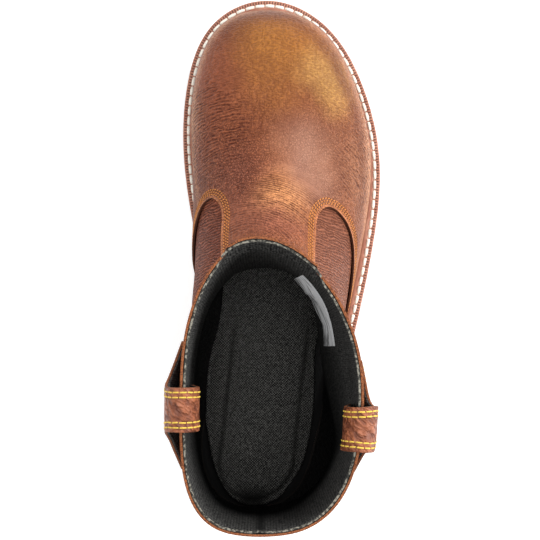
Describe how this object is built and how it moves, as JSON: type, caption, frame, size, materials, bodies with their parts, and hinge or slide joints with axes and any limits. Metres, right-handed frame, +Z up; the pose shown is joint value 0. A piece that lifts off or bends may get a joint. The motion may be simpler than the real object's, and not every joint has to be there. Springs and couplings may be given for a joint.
{
  "type": "slip-on safety boot",
  "caption": "Slip-on safety boot for the right foot: welted rubber sole with a heel, one-piece vamp and tongue over leather side panels, and a pull strap on each side of the collar",
  "frame": {"origin": "middle of the boot's box, on the floor", "axes": "+Y runs from the heel to the toe, +X to the lateral side of a right foot, +Z up from the floor"},
  "size_m": [0.1176, 0.302, 0.2702],
  "materials": {
    "rubber": "matte",
    "welting": "satin",
    "footbed": "matte",
    "panel_leather": "satin",
    "vamp_leather": "satin",
    "strap_leather": "satin"
  },
  "bodies": {
    "root": {"outsole": "rubber", "heel": "rubber", "welt": "welting", "insole": "footbed", "upper": "panel_leather", "vamp": "vamp_leather", "pull_strap_medial": "strap_leather", "pull_strap_lateral": "strap_leather"}
  },
  "joints": []
}
